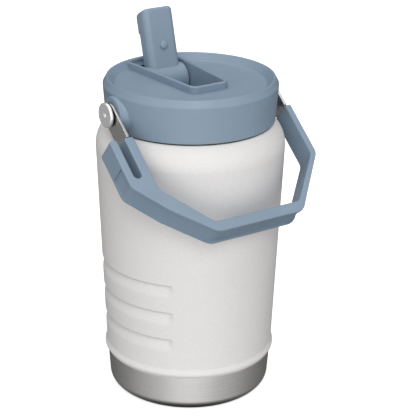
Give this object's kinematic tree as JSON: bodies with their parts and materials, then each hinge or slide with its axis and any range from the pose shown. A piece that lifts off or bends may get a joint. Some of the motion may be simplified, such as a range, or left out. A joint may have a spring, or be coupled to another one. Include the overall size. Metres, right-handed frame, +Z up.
{
  "type": "insulated water jug",
  "caption": "Insulated steel water jug with a screw lid, a fold-down straw spout and a swinging hexagonal carry bail with a hook arm.",
  "frame": {"origin": "middle of the flat underside of the base", "axes": "+Z up along the bottle's axis; +X along the bail's pivot axis, with the hook arm and the grip grooves on the -X side; -Y is the front, where the bail hangs and towards which the spout folds"},
  "size_m": [0.1481, 0.1519, 0.2658],
  "materials": {
    "stone_coating": "satin powder coat, warm pale grey",
    "brushed_steel": "horizontally brushed bare stainless steel",
    "liner_steel": "bare stainless steel, satin",
    "polished_steel": "polished stainless steel",
    "blue_plastic": "matte moulded plastic, grey blue",
    "blue_silicone": "matte silicone, grey blue",
    "dark_plastic": "moulded plastic, dark grey",
    "black_plastic": "moulded plastic, black",
    "clear_plastic": "translucent plastic",
    "silicone": "translucent silicone",
    "brass": "turned brass",
    "seal_glass": "sealing glass bead",
    "getter_metal": "sintered metal pill"
  },
  "bodies": {
    "bottle": {"outer_shell": "stone_coating", "base_cup": "brushed_steel", "vacuum_seal": "seal_glass", "inner_liner": "liner_steel", "getter": "getter_metal", "threaded_neck": "liner_steel"},
    "gasket_carrier": {"rim_gasket": "silicone"},
    "o_ring_carrier": {"plug_o_ring": "silicone"},
    "lid": {"lid_cap": "blue_plastic", "lid_liner": "dark_plastic", "straw_tube": "clear_plastic", "spout_seal": "silicone", "vent_grommet": "silicone", "threaded_insert_left": "brass", "threaded_insert_right": "brass", "pivot_bush_left": "black_plastic", "pivot_bush_right": "black_plastic", "pivot_screw_left": "polished_steel", "pivot_screw_right": "polished_steel"},
    "spout": {"mouthpiece": "blue_plastic", "vent_plug": "blue_silicone"},
    "bail": {"strap_left": "polished_steel", "strap_right": "polished_steel", "strap_pin_left": "polished_steel", "strap_pin_right": "polished_steel", "handle_body": "blue_plastic"}
  },
  "joints": [
    {"name": "lid_lift", "type": "slide", "parent": "bottle", "child": "gasket_carrier", "axis": [0, 0, 1], "range_m": [0, 0.21]},
    {"name": "thread_rise", "type": "slide", "parent": "gasket_carrier", "child": "o_ring_carrier", "axis": [0, 0, 1], "range_m": [0, 0.00625]},
    {"name": "lid_turn", "type": "hinge", "parent": "o_ring_carrier", "child": "lid", "pos_m": [0, 0, 0.2], "axis": [0, 0, 1], "range_deg": [0, 450.1]},
    {"name": "spout_fold", "type": "hinge", "parent": "lid", "child": "spout", "pos_m": [0, 0.0345, 0.216], "axis": [1, 0, 0], "range_deg": [0, 105]},
    {"name": "bail_swing", "type": "hinge", "parent": "lid", "child": "bail", "pos_m": [0, 0, 0.211], "axis": [-1, 0, 0], "range_deg": [0, 253]}
  ],
  "couplings": [
    {"joint": "lid_turn", "follows": "thread_rise", "rad_per_m": 1256.6}
  ]
}
